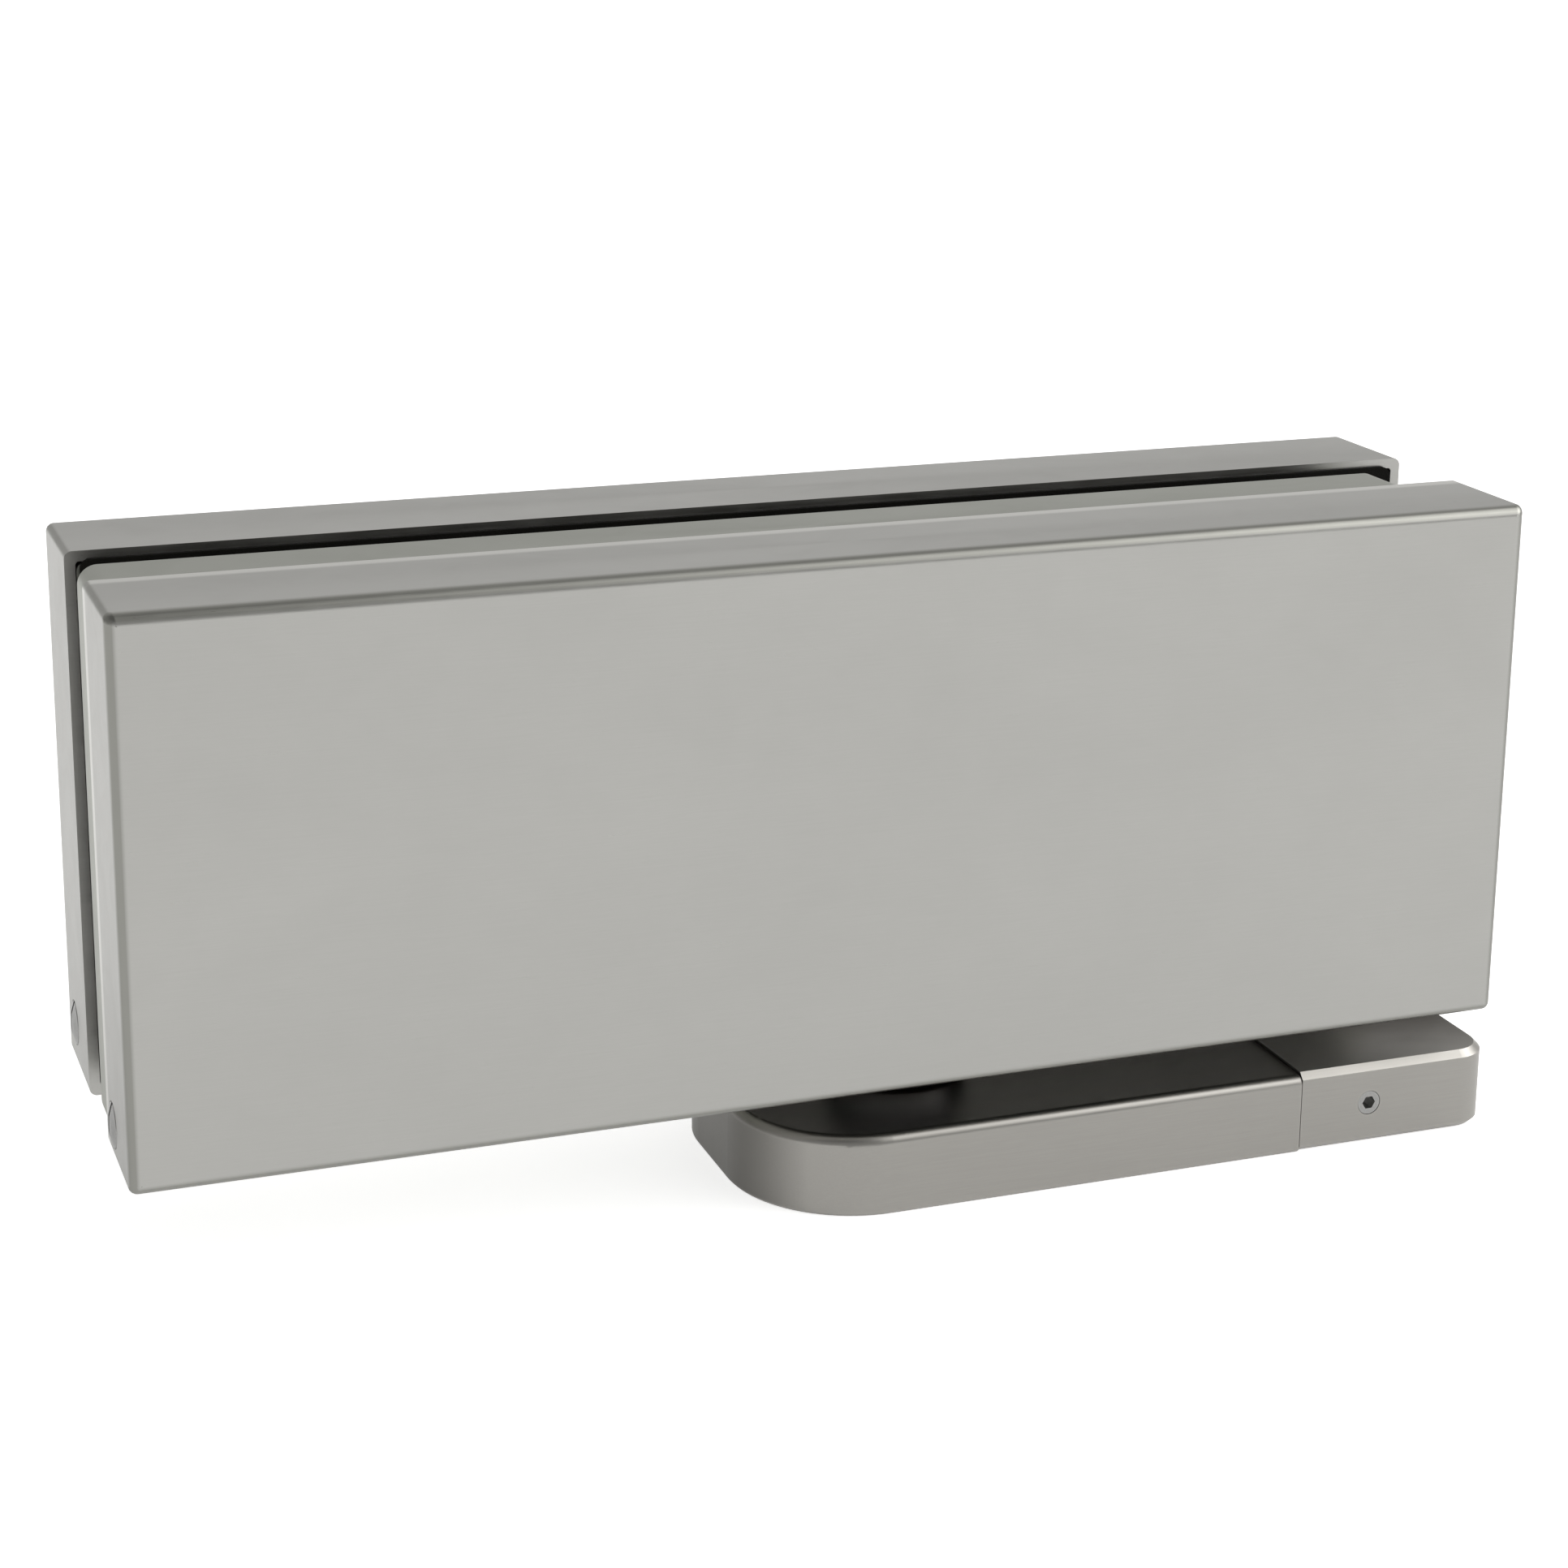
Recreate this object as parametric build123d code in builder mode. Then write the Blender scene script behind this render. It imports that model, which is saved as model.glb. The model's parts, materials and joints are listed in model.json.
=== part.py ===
from build123d import *
import math
import os

# Self-closing patch fitting for a frameless glass door, with its floor bar. Millimetres.
# X runs along the door towards the jamb, -Y is the front face, +Z is up.
# Origin: on the floor, on the axis that the door turns about.

# ---- overall sizes
PATCH_L = 165.0        # length of the fitting
PIVOT_INSET = 70.0     # pivot axis to the jamb end
PATCH_H = 63.2         # height of the covers
PATCH_T = 44.3         # over both covers
X0 = PIVOT_INSET - PATCH_L
X1 = PIVOT_INSET
YF = -PATCH_T / 2      # front face
YR = PATCH_T / 2       # back face

# ---- floor bar
BAR_H = 9.8
BAR_W = 40.8
BAR_X0 = -22.9
SEAM_X = 45.2          # joint between the bar and its end block
BAR_X1 = 71.9
BAR_R = 15.0           # rounded end
CAP_H = 10.15
TAIL_H = 6.8
TAIL_W = 32.0
BAR_FIX_X = (20.0, 36.0)   # floor screws on the bar's centre line
TAIL_FIX_X = 58.0          # and two more in the tail, under the end block
TAIL_FIX_Y = 10.0
FIX_R = 2.75
SET_X, SET_Z = 54.6, 5.2    # set-screws that hold the end block
RUN_GAP = 6.0          # daylight between bar and fitting
Z0 = BAR_H + RUN_GAP
Z1 = Z0 + PATCH_H

# ---- glass slot
SLOT = 6.5             # between the jaws, closed as drawn; the clamp opens for the glass
GASKET = 0.5
NOTCH_X = -79.0        # the body fills the glass notch from here to the jamb
NOTCH_Z = 54.5
JAW_Y = SLOT           # front of the rear jaw
BOSS_Y = 8.8           # the boss is deeper than the slot, to hold the bearings
POCKET_Y = BOSS_Y + 0.3  # floor of the pocket for it in the rear jaw

# ---- covers
SHEET = 1.2
COVER_D = 15.0
COVER_R = 1.3          # outside radius round the face
RIM_Y = YF + COVER_D + 0.05
RIM_X1 = 63.0          # the body's rim stops short of the jamb end
RIM_UP = 0.0           # flush with the front cover's top flange
BODY_X0, BODY_X1 = X0 + SHEET + 0.1, X1 - SHEET - 0.1
BODY_Z0, BODY_Z1 = Z0 + SHEET + 0.1, Z1 - SHEET - 0.1
BODY_YF = YF + SHEET + 0.05
JAW_RIM = 0.1          # the rear jaw stands this far out of its cover
JAW_YR = YR - SHEET - 0.1
SCREW_Z_FRONT = Z0 + 4.0
SCREW_Y_FRONT = -11.5
SCREW_Z_REAR = Z0 + 5.2
SCREW_Y_REAR = 16.4

# ---- closer: cylinder along X, piston with a rack, pinion cut on the spindle
CYL_R = 10.5
CYL_Y = -8.0
CYL_Z = 36.0
CYL_HALF = 54.0
PISTON_HALF = 27.0
HEAD = 8.0
MODULE = 0.8
TEETH = 16
PITCH_R = MODULE * TEETH / 2
ADD_PINION = 0.70
ADD_RACK = 0.68
DED_RACK = 0.85
ROOT_R = 5.5
BACKLASH = 0.08        # taken off each tooth
PRESSURE = math.radians(20)
PINION_Z0, PINION_Z1 = 27.0, 45.0
GALLERY_Y, GALLERY_Z = -9.9, 58.0   # oil gallery above the cylinder

# ---- spindle and bearings
SQUARE = 11.0
JOURNAL_R = 6.5
TOP_JOURNAL_R = 5.0
BUSH_R = 8.2
TOP_BUSH_R = 7.0
RUN = 0.05             # radial running clearance

# ---- clamp screws (M6) and cover screws (M3)
CLAMP_X = (-66.0, 53.0)
CLAMP_Z = (23.8, 49.8)
M6 = 3.0
M3 = 1.5

os.makedirs("parts", exist_ok=True)


# ============ floor bar ============
with BuildPart() as base_bar:
    with BuildSketch() as bar_plan:
        with Locations(((BAR_X0 + SEAM_X) / 2, 0)):
            Rectangle(SEAM_X - BAR_X0, BAR_W)
        fillet(bar_plan.vertices().group_by(Axis.X)[0], BAR_R)
    extrude(amount=BAR_H)
    rim_edges = base_bar.faces().sort_by(Axis.Z)[-1].edges().sort_by(Axis.X)[:-1]
    fillet(rim_edges, 1.2)
    chamfer(base_bar.faces().sort_by(Axis.Z)[0].edges().sort_by(Axis.X)[:-1], 0.35)
    # tail that the end block slides over
    with BuildSketch(Plane.YZ.offset(SEAM_X)):
        with Locations((0, TAIL_H / 2)):
            Rectangle(TAIL_W, TAIL_H)
    extrude(amount=68.5 - SEAM_X)
    # square socket for the spindle's foot, closed below
    with BuildSketch(Plane.XY.offset(BAR_H)):
        Rectangle(SQUARE + 0.06, SQUARE + 0.06)
    extrude(amount=-(BAR_H - 3.0), mode=Mode.SUBTRACT)
    # floor screws, countersunk: two in the bar, two in the tail
    with Locations((BAR_FIX_X[0], 0, BAR_H), (BAR_FIX_X[1], 0, BAR_H)):
        CounterSinkHole(radius=FIX_R, counter_sink_radius=5.4)
    with Locations((TAIL_FIX_X, TAIL_FIX_Y, TAIL_H), (TAIL_FIX_X, -TAIL_FIX_Y, TAIL_H)):
        CounterSinkHole(radius=FIX_R, counter_sink_radius=5.0)
    # thread for the screw that locks the spindle's foot, from the back
    with BuildSketch(Plane.XZ.offset(-BAR_W / 2)):
        with Locations((0, 6.2)):
            Circle(2.5)
    extrude(amount=BAR_W / 2 - SQUARE / 2, mode=Mode.SUBTRACT)
base_bar.part.label = "base_bar"

with BuildPart() as end_cover:
    with BuildSketch(Plane.XY.offset(0.1)) as cap_plan:
        with Locations(((SEAM_X + 0.08 + BAR_X1) / 2, 0)):
            Rectangle(BAR_X1 - SEAM_X - 0.08, BAR_W)
        fillet(cap_plan.vertices().group_by(Axis.X)[-1], 4.5)
    extrude(amount=CAP_H - 0.1)
    chamfer(end_cover.faces().sort_by(Axis.Z)[-1].edges().sort_by(Axis.X)[1:], 0.8)
    chamfer(end_cover.faces().sort_by(Axis.Z)[0].edges().sort_by(Axis.X)[1:], 0.6)
    # hollow over the tail
    with BuildSketch(Plane.YZ.offset(SEAM_X)):
        with Locations((0, 3.5)):
            Rectangle(TAIL_W + 0.3, 7.2)
    extrude(amount=69.2 - SEAM_X, mode=Mode.SUBTRACT)
    # set-screw holes, front and back
    with BuildSketch(Plane.XZ.offset(BAR_W / 2)):
        with Locations((SET_X, SET_Z)):
            Circle(M3 + 0.03)
    extrude(amount=-BAR_W, mode=Mode.SUBTRACT)
end_cover.part.label = "end_cover"

with BuildPart() as end_cover_screws:
    for side in (-1, 1):
        with BuildSketch(Plane.XZ.offset(-side * 16.05)):
            with Locations((SET_X, SET_Z)):
                Circle(M3 - 0.02)
        extrude(amount=-side * 4.3)
        with BuildSketch(Plane.XZ.offset(-side * 20.35)):
            with Locations((SET_X, SET_Z)):
                RegularPolygon(0.87, 6)
        extrude(amount=side * 1.4, mode=Mode.SUBTRACT)
end_cover_screws.part.label = "end_cover_screws"

with BuildPart() as spindle_grub_screw:
    with BuildSketch(Plane.XZ.offset(-SQUARE / 2)):
        with Locations((0, 6.2)):
            Circle(2.47)
    extrude(amount=-12.0)
    with BuildSketch(Plane.XZ.offset(-SQUARE / 2 - 12.0)):
        with Locations((0, 6.2)):
            RegularPolygon(1.45, 6)
    extrude(amount=3.0, mode=Mode.SUBTRACT)
spindle_grub_screw.part.label = "spindle_grub_screw"

# ============ spindle with its pinion ============
base_circle = PITCH_R * math.cos(PRESSURE)
inv = lambda a: math.tan(a) - a
half_tooth = (math.pi * MODULE / 2 - BACKLASH) / (2 * PITCH_R)
flank = []
for step in range(7):
    r = base_circle + (PITCH_R + ADD_PINION - base_circle) * step / 6
    flank.append((r, half_tooth + inv(PRESSURE) - inv(math.acos(base_circle / r))))
flank = [(ROOT_R, flank[0][1])] + flank
gear_points = []
for tooth in range(TEETH):
    mid = -math.pi / 2 + tooth * 2 * math.pi / TEETH
    for r, half in flank:
        gear_points.append((r * math.cos(mid - half), r * math.sin(mid - half)))
    for r, half in reversed(flank):
        gear_points.append((r * math.cos(mid + half), r * math.sin(mid + half)))

with BuildPart() as spindle:
    with BuildSketch(Plane.XY.offset(3.1)):
        Rectangle(SQUARE, SQUARE)
    extrude(amount=BAR_H - 3.1)
    with BuildSketch(Plane.XZ) as spindle_profile:
        with BuildLine():
            Polyline(
                (0, BAR_H), (8.6, BAR_H), (9.0, BAR_H + 0.4), (9.0, BAR_H + 2.8), (8.6, BAR_H + 3.2),
                (JOURNAL_R, BAR_H + 3.2), (JOURNAL_R, 24.9), (JOURNAL_R - 0.4, 25.3), (5.3, 25.3), (5.3, 46.8),
                (TOP_JOURNAL_R, 46.8), (TOP_JOURNAL_R, 51.8), (TOP_JOURNAL_R - 0.4, 52.2), (0, 52.2), close=True,
            )
        make_face()
    revolve(axis=Axis.Z)
    with BuildSketch(Plane.XY.offset(PINION_Z0)):
        with BuildLine():
            Polyline(*gear_points, close=True)
        make_face()
    extrude(amount=PINION_Z1 - PINION_Z0)
spindle.part.label = "spindle"

# ============ body of the closer ============
with BuildPart() as hydraulic_body:
    # block under the front cover
    with BuildSketch(Plane.XZ.offset(-RIM_Y)):
        with Locations(((BODY_X0 + BODY_X1) / 2, (BODY_Z0 + BODY_Z1) / 2)):
            RectangleRounded(BODY_X1 - BODY_X0, BODY_Z1 - BODY_Z0, 1.0)
    extrude(amount=RIM_Y - BODY_YF)
    # rim that shows behind the cover
    with BuildSketch(Plane.XZ):
        with Locations(((X0 + 0.4 + RIM_X1) / 2, (Z0 + 0.15 + Z1 + RIM_UP) / 2)):
            RectangleRounded(RIM_X1 - X0 - 0.4, Z1 + RIM_UP - Z0 - 0.15, 2.2)
    extrude(amount=-RIM_Y)
    chamfer(hydraulic_body.faces().filter_by(Plane.XZ).sort_by(Axis.Y)[-1].edges(), 0.2)
    # boss that fills the notch in the glass
    with BuildSketch(Plane.XZ) as boss_plan:
        with Locations(((NOTCH_X + RIM_X1) / 2, (Z0 + 0.15 + NOTCH_Z) / 2)):
            Rectangle(RIM_X1 - NOTCH_X, NOTCH_Z - Z0 - 0.15)
        fillet(boss_plan.vertices().group_by(Axis.Y)[-1], 5.0)
    extrude(amount=-BOSS_Y)
    # cylinder, open at the jamb end
    with BuildSketch(Plane.YZ.offset(-CYL_HALF)):
        with Locations((CYL_Y, CYL_Z)):
            Circle(CYL_R)
    extrude(amount=CYL_HALF + BODY_X1 + 1, mode=Mode.SUBTRACT)
    with BuildSketch(Plane.YZ.offset(CYL_HALF)):
        with Locations((CYL_Y, CYL_Z)):
            Circle(11.45)
    extrude(amount=BODY_X1 - CYL_HALF + 1, mode=Mode.SUBTRACT)
    # spindle chamber, bearing seats, groove for the retaining ring
    with BuildSketch(Plane.XY.offset(Z0 - 1)):
        Circle(BUSH_R)
    extrude(amount=25.2 - Z0 + 1, mode=Mode.SUBTRACT)
    with BuildSketch(Plane.XY.offset(25.0)):
        Circle(7.6)
    extrude(amount=22.0, mode=Mode.SUBTRACT)
    with BuildSketch(Plane.XY.offset(46.9)):
        Circle(TOP_BUSH_R)
    extrude(amount=6.4, mode=Mode.SUBTRACT)
    with BuildSketch(Plane.XY.offset(16.9)):
        Circle(8.75)
    extrude(amount=0.9, mode=Mode.SUBTRACT)
    # oil gallery above the cylinder, a port down to each end of it, and the gallery's plug
    with BuildSketch(Plane.YZ.offset(BODY_X0 - 1)):
        with Locations((GALLERY_Y, GALLERY_Z)):
            Circle(1.6)
    extrude(amount=52.0 - BODY_X0, mode=Mode.SUBTRACT)
    with BuildSketch(Plane.YZ.offset(BODY_X0 - 1)):
        with Locations((GALLERY_Y, GALLERY_Z)):
            Circle(2.5)
    extrude(amount=8.6, mode=Mode.SUBTRACT)
    with BuildSketch(Plane.XY.offset(44.0)):
        with Locations((-50, GALLERY_Y), (50, GALLERY_Y)):
            Circle(1.2)
    extrude(amount=14.0, mode=Mode.SUBTRACT)
    # bores of the two regulating screws, and the filling hole between them, from the front
    with BuildSketch(Plane.XZ.offset(-BODY_YF)):
        with Locations((-20, 58), (20, 58)):
            Circle(3.0)
    extrude(amount=-8.0, mode=Mode.SUBTRACT)
    with BuildSketch(Plane.XZ.offset(-BODY_YF)):
        with Locations((-20, 58), (20, 58), (0, 58)):
            Circle(1.4)
    extrude(amount=-14.0, mode=Mode.SUBTRACT)
    with BuildSketch(Plane.XZ.offset(-BODY_YF)):
        with Locations((0, 58)):
            Circle(2.5)
    extrude(amount=-8.5, mode=Mode.SUBTRACT)
    # threads for the clamp screws
    with BuildSketch(Plane.XZ.offset(-BOSS_Y)):
        with Locations(*[(x, z) for x in CLAMP_X for z in CLAMP_Z]):
            Circle(M6 + 0.01)
    extrude(amount=BOSS_Y + 0.2, mode=Mode.SUBTRACT)
    # threads for the front cover's screws, in both ends
    with BuildSketch(Plane.YZ.offset(BODY_X0)):
        with Locations((SCREW_Y_FRONT, SCREW_Z_FRONT)):
            Circle(M3 + 0.02)
    extrude(amount=8.0, mode=Mode.SUBTRACT)
    with BuildSketch(Plane.YZ.offset(BODY_X1)):
        with Locations((SCREW_Y_FRONT, SCREW_Z_FRONT)):
            Circle(M3 + 0.02)
    extrude(amount=-8.0, mode=Mode.SUBTRACT)
hydraulic_body.part.label = "hydraulic_body"

# ============ front cover ============
with BuildPart() as front_cover:
    with BuildSketch(Plane.XZ.offset(-(YF + COVER_D))):
        with Locations(((X0 + X1) / 2, (Z0 + Z1) / 2)):
            Rectangle(PATCH_L, PATCH_H)
    extrude(amount=COVER_D)
    fillet(front_cover.edges().filter_by(Axis.Y), 0.9)
    fillet(front_cover.faces().sort_by(Axis.Y)[0].edges(), COVER_R)
    with BuildSketch(Plane.XZ.offset(-(YF + COVER_D))):
        with Locations(((X0 + X1) / 2, (Z0 + Z1) / 2)):
            RectangleRounded(PATCH_L - 2 * SHEET, PATCH_H - 2 * SHEET, 0.4)
    extrude(amount=COVER_D - SHEET, mode=Mode.SUBTRACT)
    # room for the spindle in the bottom flange
    with BuildSketch(Plane.XY.offset(Z0 - 1)):
        Circle(11.0)
    extrude(amount=SHEET + 1.2, mode=Mode.SUBTRACT)
    # countersunk screw holes in the end flanges
    with BuildSketch(Plane.XZ.offset(-SCREW_Y_FRONT)):
        with BuildLine():
            Polyline((X0 - 1, SCREW_Z_FRONT), (X0 - 1, SCREW_Z_FRONT + 3.7), (X0 + 1.1, SCREW_Z_FRONT + 1.6),
                     (X0 + 2, SCREW_Z_FRONT + 1.6), (X0 + 2, SCREW_Z_FRONT), close=True)
        make_face()
    revolve(axis=Axis((0, SCREW_Y_FRONT, SCREW_Z_FRONT), (1, 0, 0)), mode=Mode.SUBTRACT)
    with BuildSketch(Plane.XZ.offset(-SCREW_Y_FRONT)):
        with BuildLine():
            Polyline((X1 + 1, SCREW_Z_FRONT), (X1 + 1, SCREW_Z_FRONT + 3.7), (X1 - 1.1, SCREW_Z_FRONT + 1.6),
                     (X1 - 2, SCREW_Z_FRONT + 1.6), (X1 - 2, SCREW_Z_FRONT), close=True)
        make_face()
    revolve(axis=Axis((0, SCREW_Y_FRONT, SCREW_Z_FRONT), (1, 0, 0)), mode=Mode.SUBTRACT)
front_cover.part.label = "front_cover"

# ============ rear jaw and its cover ============
with BuildPart() as rear_clamp_plate:
    with BuildSketch(Plane.XZ.offset(-JAW_Y)):
        with Locations(((X0 + X1) / 2, (Z0 + Z1) / 2)):
            RectangleRounded(BODY_X1 - BODY_X0, BODY_Z1 - BODY_Z0, 1.0)
    extrude(amount=-(JAW_YR - JAW_Y))
    # pocket for the boss
    with BuildSketch(Plane.XZ.offset(-JAW_Y)) as pocket_plan:
        with Locations(((NOTCH_X + RIM_X1) / 2, (Z0 + NOTCH_Z + 0.4) / 2)):
            Rectangle(RIM_X1 - NOTCH_X + 0.8, NOTCH_Z - Z0 + 0.4)
        fillet(pocket_plan.vertices().group_by(Axis.Y)[-1], 4.6)
    extrude(amount=-(POCKET_Y - JAW_Y), mode=Mode.SUBTRACT)
    # clamp-screw holes with counterbores for head and washer
    with BuildSketch(Plane.XZ.offset(-JAW_YR)):
        with Locations(*[(x, z) for x in CLAMP_X for z in CLAMP_Z]):
            Circle(5.5)
    extrude(amount=7.4, mode=Mode.SUBTRACT)
    with BuildSketch(Plane.XZ.offset(-JAW_YR)):
        with Locations(*[(x, z) for x in CLAMP_X for z in CLAMP_Z]):
            Circle(M6 + 0.3)
    extrude(amount=JAW_YR - JAW_Y + 1, mode=Mode.SUBTRACT)
    # threads for the rear cover's screws
    with BuildSketch(Plane.YZ.offset(BODY_X0)):
        with Locations((SCREW_Y_REAR, SCREW_Z_REAR)):
            Circle(M3 + 0.02)
    extrude(amount=8.0, mode=Mode.SUBTRACT)
    with BuildSketch(Plane.YZ.offset(BODY_X1)):
        with Locations((SCREW_Y_REAR, SCREW_Z_REAR)):
            Circle(M3 + 0.02)
    extrude(amount=-8.0, mode=Mode.SUBTRACT)
rear_clamp_plate.part.label = "rear_clamp_plate"

with BuildPart() as rear_cover:
    with BuildSketch(Plane.XZ.offset(-(JAW_Y + JAW_RIM))):
        with Locations(((X0 + X1) / 2, (Z0 + Z1) / 2)):
            Rectangle(PATCH_L, PATCH_H)
    extrude(amount=-(YR - JAW_Y - JAW_RIM))
    fillet(rear_cover.edges().filter_by(Axis.Y), 0.9)
    fillet(rear_cover.faces().sort_by(Axis.Y)[-1].edges(), COVER_R)
    with BuildSketch(Plane.XZ.offset(-(JAW_Y + JAW_RIM))):
        with Locations(((X0 + X1) / 2, (Z0 + Z1) / 2)):
            RectangleRounded(PATCH_L - 2 * SHEET, PATCH_H - 2 * SHEET, 0.4)
    extrude(amount=-(YR - SHEET - JAW_Y - JAW_RIM), mode=Mode.SUBTRACT)
    # the bottom flange steps back behind the boss
    with BuildSketch(Plane.XY.offset(Z0 - 1)):
        with Locations(((NOTCH_X + RIM_X1) / 2, POCKET_Y - 2.5)):
            RectangleRounded(RIM_X1 - NOTCH_X + 0.8, 5.0, 0.6)
    extrude(amount=SHEET + 1.2, mode=Mode.SUBTRACT)
    with BuildSketch(Plane.XZ.offset(-SCREW_Y_REAR)):
        with BuildLine():
            Polyline((X0 - 1, SCREW_Z_REAR), (X0 - 1, SCREW_Z_REAR + 3.7), (X0 + 1.1, SCREW_Z_REAR + 1.6),
                     (X0 + 2, SCREW_Z_REAR + 1.6), (X0 + 2, SCREW_Z_REAR), close=True)
        make_face()
    revolve(axis=Axis((0, SCREW_Y_REAR, SCREW_Z_REAR), (1, 0, 0)), mode=Mode.SUBTRACT)
    with BuildSketch(Plane.XZ.offset(-SCREW_Y_REAR)):
        with BuildLine():
            Polyline((X1 + 1, SCREW_Z_REAR), (X1 + 1, SCREW_Z_REAR + 3.7), (X1 - 1.1, SCREW_Z_REAR + 1.6),
                     (X1 - 2, SCREW_Z_REAR + 1.6), (X1 - 2, SCREW_Z_REAR), close=True)
        make_face()
    revolve(axis=Axis((0, SCREW_Y_REAR, SCREW_Z_REAR), (1, 0, 0)), mode=Mode.SUBTRACT)
rear_cover.part.label = "rear_cover"

# ============ screws of the two covers: raised countersunk heads, slotted ============
def cover_screw_pair(y, z):
    with BuildPart() as pair:
        for end, out in ((X0, -1), (X1, 1)):
            with BuildSketch(Plane.XZ.offset(-y)):
                with BuildLine():
                    Polyline(
                        (end + out * 0.45, z), (end + out * 0.40, z + 1.2), (end + out * 0.05, z + 2.5), (end - out * 0.1, z + 2.55),
                        (end - out * 1.1, z + M3), (end - out * 7.2, z + M3), (end - out * 7.8, z + 0.9), (end - out * 7.8, z), close=True,
                    )
                make_face()
            revolve(axis=Axis((0, y, z), (1, 0, 0)))
            with BuildSketch(Plane.YZ.offset(end + out * 0.6)):
                with Locations((y, z)):
                    Rectangle(0.55, 5.2)
            extrude(amount=-out * 0.9, mode=Mode.SUBTRACT)
    return pair.part


front_cover_screws = cover_screw_pair(SCREW_Y_FRONT, SCREW_Z_FRONT)
front_cover_screws.label = "front_cover_screws"
rear_cover_screws = cover_screw_pair(SCREW_Y_REAR, SCREW_Z_REAR)
rear_cover_screws.label = "rear_cover_screws"

# ============ clamp screws and washers ============
SEAT_Y = JAW_YR - 7.4
with BuildPart() as clamp_washers:
    with BuildSketch(Plane.XZ.offset(-SEAT_Y)):
        with Locations(*[(x, z) for x in CLAMP_X for z in CLAMP_Z]):
            Circle(5.3)
            Circle(M6 + 0.1, mode=Mode.SUBTRACT)
    extrude(amount=-0.8)
clamp_washers.part.label = "clamp_washers"

with BuildPart() as clamp_screws:
    for x in CLAMP_X:
        for z in CLAMP_Z:
            with BuildSketch(Plane.XY.offset(z)):
                with BuildLine():
                    Polyline(
                        (x, SEAT_Y + 6.4), (x + 4.5, SEAT_Y + 6.4), (x + 5.0, SEAT_Y + 5.9), (x + 5.0, SEAT_Y + 0.8),
                        (x + M6 - 0.05, SEAT_Y + 0.8), (x + M6 - 0.05, 0.9), (x + M6 - 0.8, 0.1), (x, 0.1), close=True,
                    )
                make_face()
            revolve(axis=Axis((x, 0, z), (0, 1, 0)))
    with BuildSketch(Plane.XZ.offset(-SEAT_Y - 6.4)):
        with Locations(*[(x, z) for x in CLAMP_X for z in CLAMP_Z]):
            RegularPolygon(2.9, 6)
    extrude(amount=3.2, mode=Mode.SUBTRACT)
clamp_screws.part.label = "clamp_screws"

# ============ pads on the jaws ============
TOP_BAND_Z = NOTCH_Z + 1.5
LEFT_BAND_X = NOTCH_X - 1.5
with BuildPart() as front_gasket:
    with BuildSketch(Plane.XZ) as pad_front:
        with BuildLine():
            Polyline((X0 + 1.6, Z0 + 0.9), (LEFT_BAND_X, Z0 + 0.9), (LEFT_BAND_X, TOP_BAND_Z), (RIM_X1 - 0.9, TOP_BAND_Z),
                     (RIM_X1 - 0.9, Z1 - 0.9), (X0 + 1.6, Z1 - 0.9), close=True)
        make_face()
        fillet(pad_front.vertices().sort_by(lambda v: (v.X - LEFT_BAND_X) ** 2 + (v.Z - TOP_BAND_Z) ** 2)[1:], 2.4)
    extrude(amount=-GASKET)
front_gasket.part.label = "front_gasket"

with BuildPart() as rear_gasket:
    with BuildSketch(Plane.XZ.offset(-JAW_Y)) as pad_rear:
        with BuildLine():
            Polyline((X0 + 1.6, Z0 + 0.9), (LEFT_BAND_X, Z0 + 0.9), (LEFT_BAND_X, TOP_BAND_Z), (X1 - 1.6, TOP_BAND_Z),
                     (X1 - 1.6, Z1 - 0.9), (X0 + 1.6, Z1 - 0.9), close=True)
        make_face()
        fillet(pad_rear.vertices().sort_by(lambda v: (v.X - LEFT_BAND_X) ** 2 + (v.Z - TOP_BAND_Z) ** 2)[1:], 1.2)
    extrude(amount=GASKET)
rear_gasket.part.label = "rear_gasket"

# ============ bearings, seal, retaining ring ============
with BuildPart() as lower_bush:
    with BuildSketch(Plane.XY.offset(20.4)):
        Circle(BUSH_R)
        Circle(JOURNAL_R + RUN, mode=Mode.SUBTRACT)
    extrude(amount=25.1 - 20.4)
    chamfer(lower_bush.edges().filter_by(GeomType.CIRCLE).sort_by(Axis.Z)[:1], 0.2)
lower_bush.part.label = "lower_bush"

with BuildPart() as shaft_seal:
    with BuildSketch(Plane.XZ):
        with BuildLine():
            Polyline((BUSH_R, 17.95), (BUSH_R, 20.3), (7.5, 20.3), (7.5, 19.0), (6.9, 19.0), (JOURNAL_R + 0.04, 19.6),
                     (JOURNAL_R + 0.04, 18.6), (6.8, 17.95), close=True)
        make_face()
    revolve(axis=Axis.Z)
shaft_seal.part.label = "shaft_seal"

with BuildPart() as retaining_ring:
    with BuildSketch(Plane.XY.offset(16.95)):
        Circle(8.7)
        with Locations((0, 0.25)):
            Circle(7.35, mode=Mode.SUBTRACT)
        with BuildLine():
            Polyline((0, 0), (-5, 12), (5, 12), close=True)
        make_face(mode=Mode.SUBTRACT)
    extrude(amount=0.8)
retaining_ring.part.label = "retaining_ring"

with BuildPart() as upper_bush:
    with BuildSketch(Plane.XY.offset(47.1)):
        Circle(TOP_BUSH_R)
        Circle(TOP_JOURNAL_R + RUN, mode=Mode.SUBTRACT)
    extrude(amount=5.2)
upper_bush.part.label = "upper_bush"

with BuildPart() as thrust_pad:
    with BuildSketch(Plane.XY.offset(52.35)):
        Circle(6.9)
    extrude(amount=0.95)
    with BuildSketch(Plane.XY.offset(52.35)):
        Circle(1.2)
    extrude(amount=0.4, mode=Mode.SUBTRACT)
thrust_pad.part.label = "thrust_pad"

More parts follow.
